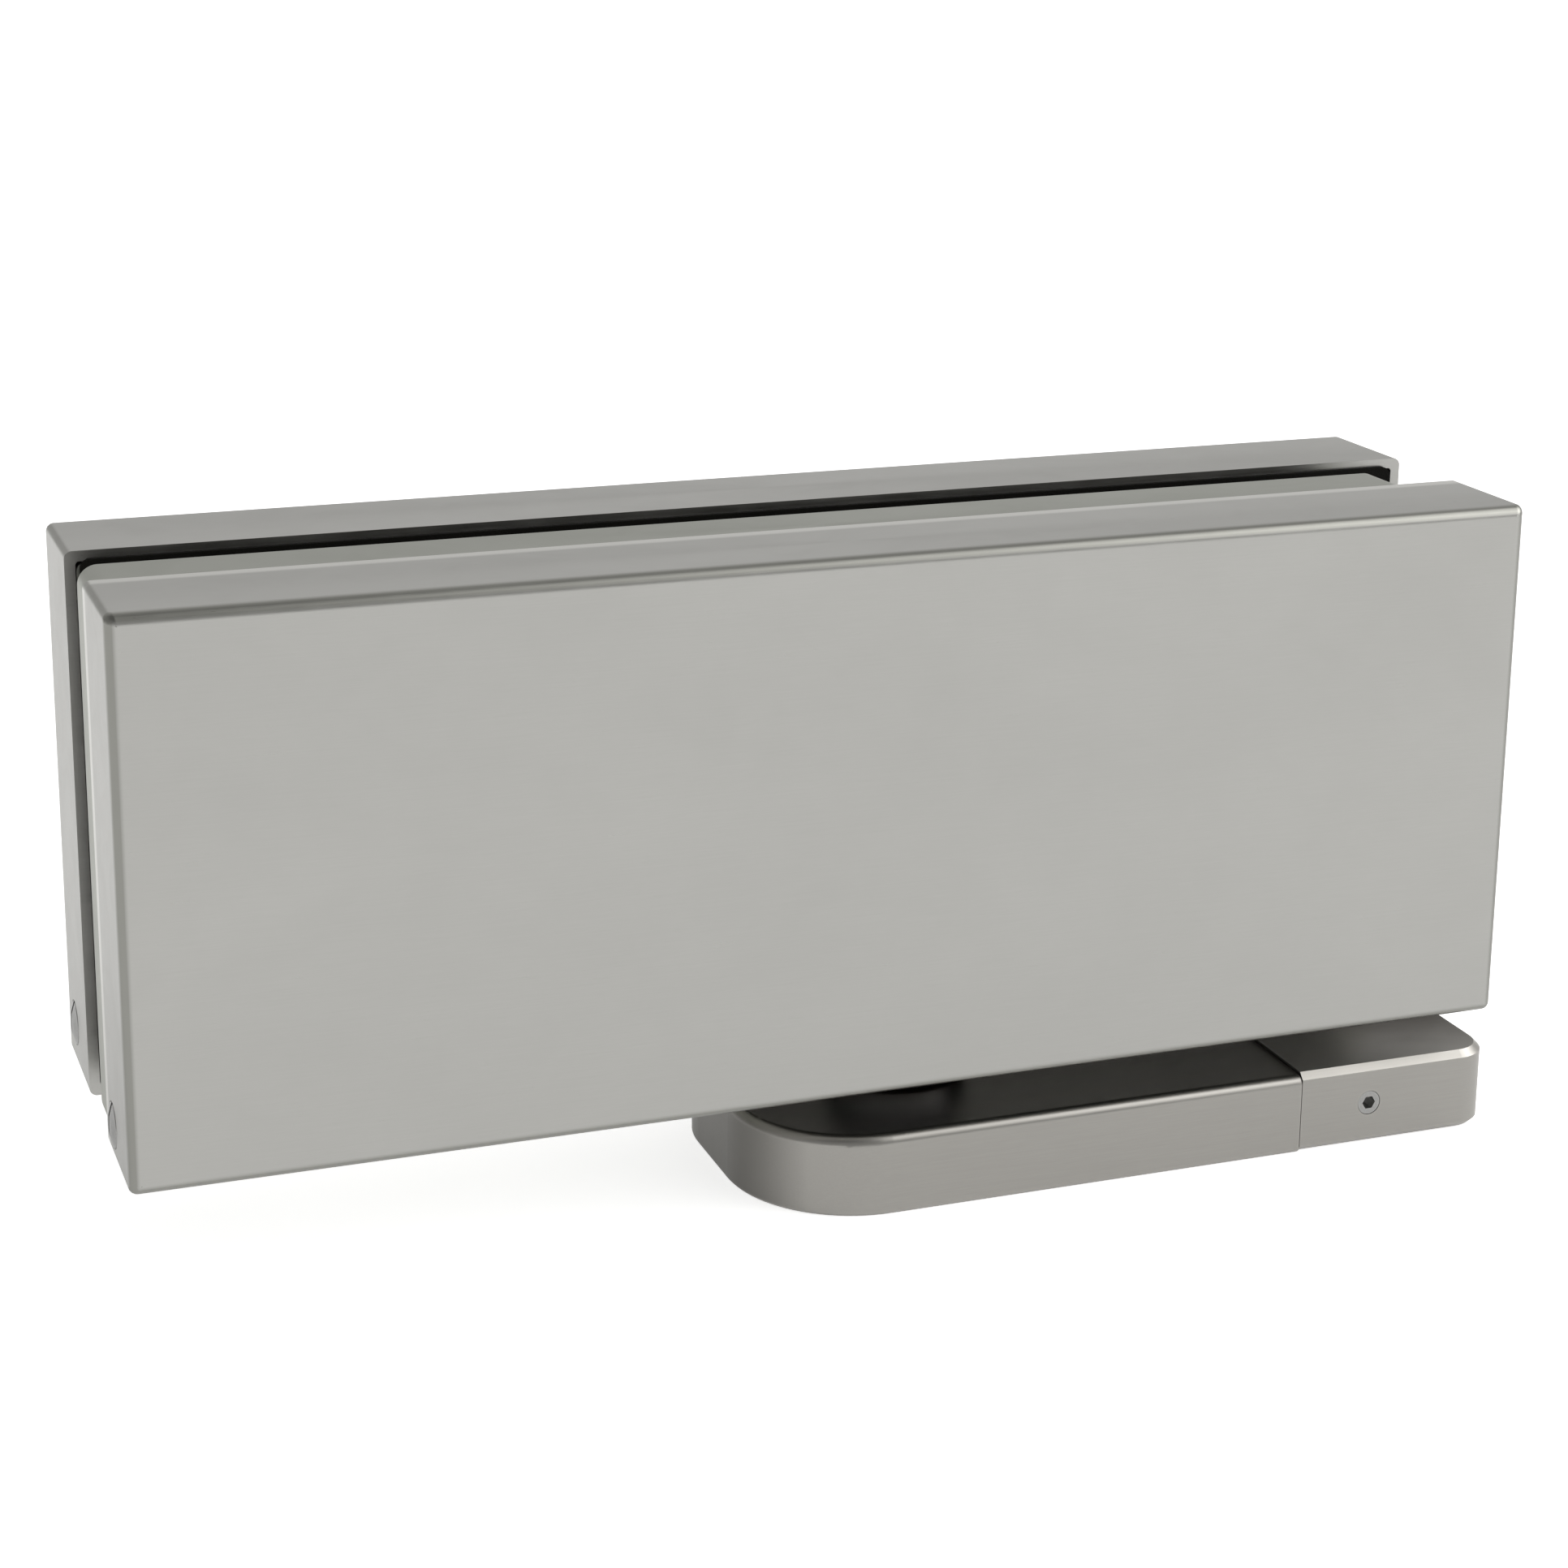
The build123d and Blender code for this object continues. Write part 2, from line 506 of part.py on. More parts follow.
# ============ piston, rings, check balls ============
RACK_TIP_Y = -PITCH_R + ADD_RACK
RACK_ROOT_Y = -PITCH_R - DED_RACK
PITCH = math.pi * MODULE
BALL_R = 2.0
BALL_X = 23.15
BALL_Y = -2.5
with BuildPart() as piston:
    with BuildSketch(Plane.YZ.offset(-PISTON_HALF)):
        with Locations((CYL_Y, CYL_Z)):
            Circle(CYL_R - 0.05)
    extrude(amount=2 * PISTON_HALF)
    chamfer(piston.edges().filter_by(GeomType.CIRCLE), 0.4)
    # opening between the heads for the spindle, down to the tips of the rack's teeth
    with BuildSketch(Plane.XY.offset(CYL_Z - 12)):
        with BuildLine():
            Polyline((-(PISTON_HALF - HEAD), RACK_TIP_Y), (PISTON_HALF - HEAD, RACK_TIP_Y),
                     (PISTON_HALF - HEAD, 6), (-(PISTON_HALF - HEAD), 6), close=True)
        make_face()
    extrude(amount=24, mode=Mode.SUBTRACT)
    # gaps between the rack's teeth
    gap_mid = PITCH / 2 + BACKLASH
    gap_top = gap_mid + 2 * (ADD_RACK + 0.3) * math.tan(PRESSURE)
    gap_root = gap_mid - 2 * DED_RACK * math.tan(PRESSURE)
    with BuildSketch(Plane.XY.offset(CYL_Z - 12)):
        for k in range(-6, 7):
            with BuildLine():
                Polyline((k * PITCH - gap_top / 2, RACK_TIP_Y + 0.3), (k * PITCH + gap_top / 2, RACK_TIP_Y + 0.3),
                         (k * PITCH + gap_root / 2, RACK_ROOT_Y), (k * PITCH - gap_root / 2, RACK_ROOT_Y), close=True)
            make_face()
    extrude(amount=24, mode=Mode.SUBTRACT)
    # ring grooves
    for side in (-1, 1):
        with BuildSketch(Plane.YZ.offset(side * 22.0)):
            with Locations((CYL_Y, CYL_Z)):
                Circle(CYL_R + 1)
                Circle(9.2, mode=Mode.SUBTRACT)
        extrude(amount=side * 2.2, mode=Mode.SUBTRACT)
    # oil way through each head, with the seat of its check ball
    with BuildSketch(Plane.YZ.offset(-PISTON_HALF - 1)):
        with Locations((BALL_Y, CYL_Z)):
            Circle(1.2)
    extrude(amount=2 * PISTON_HALF + 2, mode=Mode.SUBTRACT)
    for side in (-1, 1):
        with BuildSketch(Plane.YZ.offset(side * 21.5)):
            with Locations((BALL_Y, CYL_Z)):
                Circle(BALL_R + 0.1)
        extrude(amount=side * 6.0, mode=Mode.SUBTRACT)
piston.part.label = "piston"

with BuildPart() as piston_rings:
    for side in (-1, 1):
        with BuildSketch(Plane.YZ.offset(side * 22.1)):
            with Locations((CYL_Y, CYL_Z)):
                Circle(CYL_R - 0.03)
                Circle(9.25, mode=Mode.SUBTRACT)
        extrude(amount=side * 2.0)
piston_rings.part.label = "piston_rings"

with BuildPart() as check_ball_retainers:
    for side in (-1, 1):
        with BuildSketch(Plane.YZ.offset(side * 26.0)):
            with Locations((BALL_Y, CYL_Z)):
                Circle(BALL_R + 0.1)
                Circle(1.0, mode=Mode.SUBTRACT)
        extrude(amount=side * 0.9)
check_ball_retainers.part.label = "check_ball_retainers"

with BuildPart() as check_ball_left:
    with Locations((-BALL_X, BALL_Y, CYL_Z)):
        Sphere(BALL_R)
check_ball_left.part.label = "check_ball_left"

with BuildPart() as check_ball_right:
    with Locations((BALL_X, BALL_Y, CYL_Z)):
        Sphere(BALL_R)
check_ball_right.part.label = "check_ball_right"

# ============ closing springs ============
SPRING_R = 7.9
WIRE_R = 1.2
SPRING_LEN = 24.0      # between the centres of the end coils
TURNS = 5.0
with BuildPart() as spring_left:
    with BuildLine() as coil_left:
        Helix(pitch=SPRING_LEN / TURNS, height=SPRING_LEN, radius=SPRING_R, center=(-52.5, CYL_Y, CYL_Z), direction=(1, 0, 0))
    with BuildSketch(Plane(origin=coil_left.line @ 0, z_dir=coil_left.line % 0)):
        Circle(WIRE_R)
    sweep(path=coil_left.line, is_frenet=True)
spring_left.part.label = "spring_left"

with BuildPart() as spring_right:
    with BuildLine() as coil_right:
        Helix(pitch=SPRING_LEN / TURNS, height=SPRING_LEN, radius=SPRING_R, center=(28.5, CYL_Y, CYL_Z), direction=(1, 0, 0))
    with BuildSketch(Plane(origin=coil_right.line @ 0, z_dir=coil_right.line % 0)):
        Circle(WIRE_R)
    sweep(path=coil_right.line, is_frenet=True)
spring_right.part.label = "spring_right"

# ============ cylinder plug and its ring ============
with BuildPart() as cylinder_plug:
    with BuildSketch(Plane.YZ.offset(CYL_HALF)):
        with Locations((CYL_Y, CYL_Z)):
            Circle(11.4)
    extrude(amount=8.0)
    chamfer(cylinder_plug.edges().filter_by(GeomType.CIRCLE).sort_by(Axis.X)[-1:], 0.5)
    with BuildSketch(Plane.YZ.offset(CYL_HALF + 1.6)):
        with Locations((CYL_Y, CYL_Z)):
            Circle(12)
            Circle(10.0, mode=Mode.SUBTRACT)
    extrude(amount=1.7, mode=Mode.SUBTRACT)
    # holes for a pin spanner
    with BuildSketch(Plane.YZ.offset(CYL_HALF + 8.0)):
        with Locations((CYL_Y, CYL_Z + 7.0), (CYL_Y, CYL_Z - 7.0), (CYL_Y + 7.0, CYL_Z), (CYL_Y - 7.0, CYL_Z)):
            Circle(1.25)
    extrude(amount=-4.0, mode=Mode.SUBTRACT)
cylinder_plug.part.label = "cylinder_plug"

with BuildPart() as plug_o_ring:
    with BuildSketch(Plane.XY.offset(CYL_Z)):
        with Locations((CYL_HALF + 2.45, CYL_Y + 10.72)):
            Circle(0.7)
    revolve(axis=Axis((0, CYL_Y, CYL_Z), (1, 0, 0)))
plug_o_ring.part.label = "plug_o_ring"

# ============ regulating screws, their rings, and the two oil plugs ============
def regulating_screw(x, z):
    y = BODY_YF
    with BuildPart() as screw:
        with BuildSketch(Plane.XY.offset(z)):
            with BuildLine():
                Polyline(
                    (x, y + 0.5), (x + 2.7, y + 0.5), (x + 2.95, y + 0.75), (x + 2.95, y + 4.2), (x + 2.0, y + 4.2), (x + 2.0, y + 5.8),
                    (x + 2.95, y + 5.8), (x + 2.95, y + 6.8), (x + 1.2, y + 6.8), (x + 1.2, y + 11.5), (x + 0.4, y + 13.2), (x, y + 13.2), close=True,
                )
            make_face()
        revolve(axis=Axis((x, 0, z), (0, 1, 0)))
        with BuildSketch(Plane.XZ.offset(-y)):
            with Locations((x, z)):
                Rectangle(6.5, 0.8)
        extrude(amount=-1.7, mode=Mode.SUBTRACT)
    return screw.part


speed_valve_left = regulating_screw(-20, 58)
speed_valve_left.label = "speed_valve_left"
speed_valve_right = regulating_screw(20, 58)
speed_valve_right.label = "speed_valve_right"

with BuildPart() as valve_o_rings:
    for x in (-20, 20):
        with BuildSketch(Plane.XY.offset(58)):
            with Locations((x + 2.51, BODY_YF + 5.0)):
                Circle(0.47)
        revolve(axis=Axis((x, 0, 58), (0, 1, 0)))
valve_o_rings.part.label = "valve_o_rings"

with BuildPart() as oil_fill_plug:
    with BuildSketch(Plane.XZ.offset(-(BODY_YF + 0.5))):
        with Locations((0, 58)):
            Circle(2.48)
    extrude(amount=-7.0)
    with BuildSketch(Plane.XZ.offset(-(BODY_YF + 0.5))):
        with Locations((0, 58)):
            RegularPolygon(1.45, 6)
    extrude(amount=-2.5, mode=Mode.SUBTRACT)
oil_fill_plug.part.label = "oil_fill_plug"

with BuildPart() as gallery_plug:
    with BuildSketch(Plane.YZ.offset(BODY_X0 + 0.5)):
        with Locations((GALLERY_Y, GALLERY_Z)):
            Circle(2.48)
    extrude(amount=6.5)
    with BuildSketch(Plane.YZ.offset(BODY_X0 + 0.5)):
        with Locations((GALLERY_Y, GALLERY_Z)):
            RegularPolygon(1.45, 6)
    extrude(amount=2.5, mode=Mode.SUBTRACT)
gallery_plug.part.label = "gallery_plug"

# ============ write the pieces ============
pieces = [
    base_bar.part, end_cover.part, end_cover_screws.part, spindle_grub_screw.part, spindle.part,
    hydraulic_body.part, front_cover.part, rear_clamp_plate.part, rear_cover.part, front_cover_screws, rear_cover_screws,
    clamp_washers.part, clamp_screws.part, front_gasket.part, rear_gasket.part, lower_bush.part, shaft_seal.part,
    retaining_ring.part, upper_bush.part, thrust_pad.part, piston.part, piston_rings.part, check_ball_retainers.part,
    check_ball_left.part, check_ball_right.part, spring_left.part, spring_right.part, cylinder_plug.part, plug_o_ring.part,
    speed_valve_left, speed_valve_right, valve_o_rings.part, oil_fill_plug.part, gallery_plug.part,
]
for piece in pieces:
    export_step(piece, f"parts/{piece.label}.step")
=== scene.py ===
import json
import math
import random

import bpy
import bmesh
from mathutils import Matrix, Vector


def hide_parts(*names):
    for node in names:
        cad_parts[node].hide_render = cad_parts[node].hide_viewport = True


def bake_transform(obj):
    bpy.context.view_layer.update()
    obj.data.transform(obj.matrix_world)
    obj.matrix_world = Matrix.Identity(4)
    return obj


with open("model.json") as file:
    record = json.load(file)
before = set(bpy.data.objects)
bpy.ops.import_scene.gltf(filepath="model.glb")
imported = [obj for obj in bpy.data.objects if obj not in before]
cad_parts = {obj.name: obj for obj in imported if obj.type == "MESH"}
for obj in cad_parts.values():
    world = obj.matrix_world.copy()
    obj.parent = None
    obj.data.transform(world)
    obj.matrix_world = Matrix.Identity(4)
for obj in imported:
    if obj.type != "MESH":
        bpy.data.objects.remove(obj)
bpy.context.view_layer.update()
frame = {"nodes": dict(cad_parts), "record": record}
nodes = frame["nodes"]
MM = 0.001
random.seed(7)

# ------------------------------------------------------------------ studio settings
FLOOR_GLOW = 0.345         # what the metal sees of it
FLOOR_WHITE = 0.36         # more for the eye, so that the floor reads as paper white
AMBIENT = 0.38
# direction, full within, gone beyond (degrees), strength added
LOBES = (
    ((0.34, 0.90, 0.25), 35, 85, 0.26),      # behind, what the top strips reflect
    ((0.75, -0.38, 0.55), 18, 38, 2.10),     # soft window, front right and above
    ((-0.10, -0.40, 0.92), 12, 48, -0.20),   # darker ceiling above the front left
)
BOXES = (
    ("key_box", (1.05, -0.50, 0.70), (0, 0, 0.04), (0.6, 0.6), 2.2),
)


# ------------------------------------------------------------------ node helpers
class Build:
    """Small helper that adds shader nodes and links them by name."""

    def __init__(self, name):
        self.mat = bpy.data.materials.new(name)
        self.mat.use_nodes = True
        self.tree = self.mat.node_tree
        self.tree.nodes.clear()
        self.out = self.tree.nodes.new("ShaderNodeOutputMaterial")
        self.bsdf = self.tree.nodes.new("ShaderNodeBsdfPrincipled")
        self.tree.links.new(self.bsdf.outputs[0], self.out.inputs["Surface"])

    def node(self, kind, **props):
        n = self.tree.nodes.new(kind)
        for k, v in props.items():
            setattr(n, k, v)
        return n

    def link(self, a, b):
        self.tree.links.new(a, b)

    def coords(self, scale=(1, 1, 1), offset=(0, 0, 0)):
        """Object coordinates in millimetres, stretched by scale."""
        tc = self.node("ShaderNodeTexCoord")
        mp = self.node("ShaderNodeMapping")
        mp.inputs["Scale"].default_value = tuple(1000 * s for s in scale)
        mp.inputs["Location"].default_value = offset
        self.link(tc.outputs["Object"], mp.inputs["Vector"])
        return mp.outputs[0]

    def noise(self, vec, scale=1.0, detail=3.0, rough=0.5, distortion=0.0):
        n = self.node("ShaderNodeTexNoise")
        n.inputs["Scale"].default_value = scale
        n.inputs["Detail"].default_value = detail
        n.inputs["Roughness"].default_value = rough
        n.inputs["Distortion"].default_value = distortion
        self.link(vec, n.inputs["Vector"])
        return n.outputs["Fac"]

    def voronoi(self, vec, scale=1.0, feature="F1"):
        n = self.node("ShaderNodeTexVoronoi", feature=feature)
        n.inputs["Scale"].default_value = scale
        self.link(vec, n.inputs["Vector"])
        return n.outputs["Distance"]

    def ramp(self, value, lo, hi, to_lo, to_hi):
        n = self.node("ShaderNodeMapRange", clamp=True)
        n.inputs["From Min"].default_value = lo
        n.inputs["From Max"].default_value = hi
        n.inputs["To Min"].default_value = to_lo
        n.inputs["To Max"].default_value = to_hi
        self.link(value, n.inputs["Value"])
        return n.outputs[0]

    def math(self, op, a, b=None):
        n = self.node("ShaderNodeMath", operation=op)
        for i, v in enumerate((a, b)):
            if v is None:
                continue
            if isinstance(v, (int, float)):
                n.inputs[i].default_value = v
            else:
                self.link(v, n.inputs[i])
        return n.outputs[0]

    def mix(self, fac, a, b):
        n = self.node("ShaderNodeMix", data_type="RGBA")
        for sock, v in ((n.inputs["Factor"], fac), (n.inputs[6], a), (n.inputs[7], b)):
            if isinstance(v, (int, float)):
                sock.default_value = v
            elif isinstance(v, tuple):
                sock.default_value = (*v, 1.0) if len(v) == 3 else v
            else:
                self.link(v, sock)
        return n.outputs[2]

    def bump(self, height, distance, strength=1.0, normal=None):
        n = self.node("ShaderNodeBump")
        n.inputs["Distance"].default_value = distance
        n.inputs["Strength"].default_value = strength
        self.link(height, n.inputs["Height"])
        if normal is not None:
            self.link(normal, n.inputs["Normal"])
        return n.outputs[0]

    def set(self, **values):
        for k, v in values.items():
            self.bsdf.inputs[k.replace("_", " ")].default_value = v


def edge_wear(b, radius, lo=0.0, hi=1.0):
    """0 on flats, 1 on outside edges: the bevelled normal against the true one."""
    bev = b.node("ShaderNodeBevel", samples=4)
    bev.inputs["Radius"].default_value = radius
    geo = b.node("ShaderNodeNewGeometry")
    dot = b.node("ShaderNodeVectorMath", operation="DOT_PRODUCT")
    b.link(bev.outputs[0], dot.inputs[0])
    b.link(geo.outputs["Normal"], dot.inputs[1])
    return b.ramp(dot.outputs["Value"], 0.995, 0.90, lo, hi)


def tilt(b, lo=0.995, hi=0.90):
    """0 on faces square to the part's axes, 1 on its roundings and chamfers (object-space normal)."""
    tc = b.node("ShaderNodeTexCoord")
    sep = b.node("ShaderNodeSeparateXYZ")
    b.link(tc.outputs["Normal"], sep.inputs[0])
    a = [b.math("ABSOLUTE", sep.outputs[i]) for i in range(3)]
    return b.ramp(b.math("MAXIMUM", b.math("MAXIMUM", a[0], a[1]), a[2]), lo, hi, 0.0, 1.0)


def upward(b, lo=0.97, hi=0.995):
    """1 on faces that look straight up in the part's own space."""
    tc = b.node("ShaderNodeTexCoord")
    sep = b.node("ShaderNodeSeparateXYZ")
    b.link(tc.outputs["Normal"], sep.inputs[0])
    return b.ramp(sep.outputs["Z"], lo, hi, 0.0, 1.0)


def leftward(b, lo=0.62, hi=0.97, most=0.80):
    """0 to most on faces that look towards -X in the part's own space."""
    tc = b.node("ShaderNodeTexCoord")
    sep = b.node("ShaderNodeSeparateXYZ")
    b.link(tc.outputs["Normal"], sep.inputs[0])
    return b.ramp(sep.outputs["X"], -lo, -hi, 0.0, most)


def satin_metal(name, dark, light, rough=(0.26, 0.36), grain=(0.02, 1.0, 1.0), grain_scale=6.0, bump=0.010, tint=(1, 1, 1), edge_blend=0.25, aniso=0.55,
                edge_shade=None, highlight_band=None, top_shade=None, shade=False):
    """Brushed metal. grain stretches the brushing: a small first number makes long streaks along X."""
    b = Build(name)
    streak = b.noise(b.coords(grain), grain_scale, 4.0, 0.62)
    fine = b.noise(b.coords((grain[0] * 3, grain[1] * 3, grain[2] * 3), (31, 7, 3)), grain_scale, 2.0, 0.7)
    cloud = b.noise(b.coords((0.03, 0.045, 0.045), (3, 11, 5)), 1.0, 3.0, 0.5, 0.4)
    smudge = b.noise(b.coords((0.11, 0.14, 0.14), (17, 1, 9)), 1.0, 4.0, 0.6, 0.8)
    both = b.math("ADD", b.math("MULTIPLY", streak, 0.6), b.math("MULTIPLY", fine, 0.4))
    tone = b.ramp(both, 0.30, 0.70, 0.0, 1.0)
    base = b.mix(tone, tuple(dark[i] * tint[i] for i in range(3)), tuple(light[i] * tint[i] for i in range(3)))
    clouded = b.mix(b.ramp(cloud, 0.35, 0.65, 0.0, 0.16), base, tuple(0.86 * dark[i] * tint[i] for i in range(3)))
    if highlight_band is not None:
        # painted highlight: a lighter band across the top flange near its rear edge, (start, full, end) in
        # millimetres along Y
        tc = b.node("ShaderNodeTexCoord")
        sep = b.node("ShaderNodeSeparateXYZ")
        b.link(tc.outputs["Object"], sep.inputs[0])
        rise = b.ramp(sep.outputs["Y"], highlight_band[0] * MM, highlight_band[1] * MM, 0.0, 1.0)
        fall = b.ramp(sep.outputs["Y"], highlight_band[2] * MM, (highlight_band[2] + 0.3) * MM, 1.0, 0.0)
        clouded = b.mix(b.math("MULTIPLY", b.math("MULTIPLY", rise, fall), 0.9), clouded, tuple(min(1.0, 1.5 * light[i]) for i in range(3)))
    if shade:
        # painted shade: faces that look towards -X, on the rounded end away from the jamb, are darkened, standing in
        # for a dark reflection there
        clouded = b.mix(leftward(b), clouded, tuple(0.45 * c for c in dark))
    if top_shade is not None:
        # painted shade: faces that look up are darkened, most in the middle and less towards the long edges, standing
        # in for the shadow and dark reflection under the fitting
        tc = b.node("ShaderNodeTexCoord")
        sep = b.node("ShaderNodeSeparateXYZ")
        b.link(tc.outputs["Object"], sep.inputs[0])
        middle = b.ramp(b.math("ABSOLUTE", sep.outputs["Y"]), 19.6 * MM, 9.0 * MM, 0.25, 0.96)
        clouded = b.mix(b.math("MULTIPLY", upward(b), middle), clouded, top_shade)
    # painted shade: with an edge colour given, roundings and chamfers (tilt mask) are darkened towards it, standing
    # in for dark reflections on the bevels; without one, outside edges are lightened a little (edge_wear mask)
    if edge_shade is not None:
        edged_colour = b.mix(b.math("MULTIPLY", tilt(b), edge_blend), clouded, edge_shade)
    else:
        edged_colour = b.mix(b.math("MULTIPLY", edge_wear(b, 0.0006), edge_blend), clouded, tuple(min(1.0, 1.18 * light[i]) for i in range(3)))
    b.link(edged_colour, b.bsdf.inputs["Base Color"])
    r1 = b.ramp(both, 0.30, 0.70, rough[0], rough[1])
    r2 = b.math("ADD", r1, b.ramp(smudge, 0.40, 0.75, 0.0, 0.05))
    b.link(r2, b.bsdf.inputs["Roughness"])
    b.link(b.bump(both, bump * MM), b.bsdf.inputs["Normal"])
    b.set(Metallic=1.0, Anisotropic=aniso)
    return b


M = {}
# satin_cover: its roundings and chamfers are darkened as painted shade, and a lighter band near the rear edge of its
# top flange is a painted highlight
M["satin_cover"] = satin_metal("satin_cover", (0.452, 0.449, 0.430), (0.480, 0.477, 0.458), bump=0.0018, edge_blend=0.85, aniso=0.35,
                               edge_shade=(0.27, 0.27, 0.248), highlight_band=(-9.2, -8.4, -7.1))
# base_steel: its up-facing top and its rounded end towards -X are darkened as painted shade
M["base_steel"] = satin_metal("base_steel", (0.365, 0.354, 0.333), (0.400, 0.389, 0.367), rough=(0.28, 0.36), bump=0.002, aniso=0.35,
                              top_shade=(0.052, 0.044, 0.033), shade=True)
M["body_alloy"] = satin_metal("body_alloy", (0.350, 0.358, 0.320), (0.39, 0.398, 0.360), rough=(0.30, 0.38), grain=(0.06, 0.9, 0.9), bump=0.004, aniso=0.3)
M["hard_steel"] = satin_metal("hard_steel", (0.30, 0.30, 0.31), (0.42, 0.42, 0.43), rough=(0.22, 0.32), grain=(0.8, 0.8, 0.05), bump=0.004, aniso=0.2)
M["spring_steel"] = satin_metal("spring_steel", (0.05, 0.05, 0.055), (0.11, 0.11, 0.12), rough=(0.32, 0.48), grain=(0.5, 0.5, 0.5), bump=0.006, aniso=0.0)
M["bronze"] = satin_metal("bronze", (0.30, 0.19, 0.085), (0.45, 0.30, 0.14), rough=(0.36, 0.50), grain=(0.9, 0.9, 0.9), bump=0.008, aniso=0.0)
M["screw_steel"] = satin_metal("screw_steel", (0.30, 0.30, 0.295), (0.44, 0.44, 0.43), rough=(0.26, 0.38), grain=(1.0, 0.4, 0.4), bump=0.004, aniso=0.0)


def black_screw(name):
    b = Build(name)
    mottled = b.noise(b.coords((1, 1, 1)), 2.2, 4.0, 0.6)
    grit = b.noise(b.coords((1, 1, 1), (5, 5, 5)), 9.0, 2.0, 0.6)
    base = b.mix(b.ramp(mottled, 0.35, 0.68, 0.0, 1.0), (0.018, 0.018, 0.020), (0.055, 0.055, 0.058))
    edged_colour = b.mix(b.math("MULTIPLY", edge_wear(b, 0.00015), 0.5), base, (0.22, 0.22, 0.22))
    b.link(edged_colour, b.bsdf.inputs["Base Color"])
    b.link(b.ramp(mottled, 0.3, 0.7, 0.34, 0.52), b.bsdf.inputs["Roughness"])
    b.link(b.bump(grit, 0.010 * MM), b.bsdf.inputs["Normal"])
    b.set(Metallic=0.85)
    return b


def rubber(name, dark, light, rough=(0.72, 0.9), spec=0.4):
    b = Build(name)
    speck = b.noise(b.coords((1, 1, 1)), 5.0, 3.0, 0.7)
    cells = b.voronoi(b.coords((1, 1, 1), (2, 2, 2)), 3.2)
    cloud = b.noise(b.coords((0.12, 0.12, 0.12), (4, 4, 4)), 1.0, 3.0, 0.5)
    base = b.mix(b.ramp(speck, 0.35, 0.7, 0.0, 1.0), dark, light)
    dusty = b.mix(b.ramp(cloud, 0.5, 0.8, 0.0, 0.25), base, tuple(min(1.0, 2.2 * c) for c in light))
    b.link(dusty, b.bsdf.inputs["Base Color"])
    b.link(b.ramp(speck, 0.3, 0.7, rough[0], rough[1]), b.bsdf.inputs["Roughness"])
    b.link(b.bump(b.math("ADD", speck, b.math("MULTIPLY", cells, 0.6)), 0.03 * MM), b.bsdf.inputs["Normal"])
    b.set(Metallic=0.0)
    b.bsdf.inputs["Specular IOR Level"].default_value = spec
    return b


def nylon(name):
    b = Build(name)
    flow = b.noise(b.coords((0.4, 0.4, 0.4)), 1.4, 4.0, 0.55, 0.6)
    grit = b.noise(b.coords((1, 1, 1), (8, 1, 1)), 7.0, 2.0, 0.6)
    base = b.mix(b.ramp(flow, 0.35, 0.68, 0.0, 1.0), (0.60, 0.575, 0.50), (0.74, 0.72, 0.65))
    b.link(base, b.bsdf.inputs["Base Color"])
    b.link(b.ramp(grit, 0.3, 0.7, 0.38, 0.52), b.bsdf.inputs["Roughness"])
    b.link(b.bump(grit, 0.012 * MM), b.bsdf.inputs["Normal"])
    b.set(Metallic=0.0)
    return b


M["black_screw"] = black_screw("black_screw")
M["pad"] = rubber("pad", (0.0035, 0.0033, 0.0025), (0.0075, 0.0072, 0.0055), spec=0.12)
M["seal"] = rubber("seal", (0.012, 0.012, 0.013), (0.030, 0.030, 0.030), rough=(0.45, 0.6))
M["nylon"] = nylon("nylon")

slot_of = {s["node"]: s["material_slot"] for s in frame["record"]["subparts"]}
for name, obj in nodes.items():
    obj.data.materials.clear()
    obj.data.materials.append(M[slot_of[name]].mat)


# ------------------------------------------------------------------ closing springs
# Each spring is built once as a fixed helix, from its seat in the body to the piston.
def closing_spring(name, node, x_first):
    turns, length, radius, wire, per_turn, sides = 5.0, 24.0, 7.9, 1.2, 56, 18
    axis_y, axis_z = -8.0, 36.0
    bm = bmesh.new()
    rings = []
    steps = int(turns * per_turn)
    for i in range(steps + 1):
        t = i / steps
        ang = 2 * math.pi * turns * t
        out = Vector((0, math.cos(ang), math.sin(ang)))
        along = Vector((length / (2 * math.pi * turns), -radius * math.sin(ang), radius * math.cos(ang))).normalized()
        side = along.cross(out).normalized()
        middle = Vector((x_first + length * t, axis_y, axis_z)) + radius * out
        rings.append([bm.verts.new((middle + wire * (math.cos(a) * out + math.sin(a) * side)) * MM)
                      for a in (2 * math.pi * k / sides for k in range(sides))])
    for first, second in zip(rings, rings[1:]):
        for k in range(sides):
            bm.faces.new((first[k], first[(k + 1) % sides], second[(k + 1) % sides], second[k])).smooth = True
    for end in (rings[0], rings[-1]):
        cap = bm.faces.new(end)
        for e in cap.edges:
            e.smooth = False
    bmesh.ops.recalc_face_normals(bm, faces=bm.faces)
    mesh = bpy.data.meshes.new(name)
    bm.to_mesh(mesh)
    bm.free()
    mesh.materials.append(M["spring_steel"].mat)
    o = bpy.data.objects.new(name, mesh)
    bpy.context.scene.collection.objects.link(o)
    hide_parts(node)
    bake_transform(o)
    return o


closing_spring("closing_spring_left", "spring_left", -52.5)
closing_spring("closing_spring_right", "spring_right", 28.5)

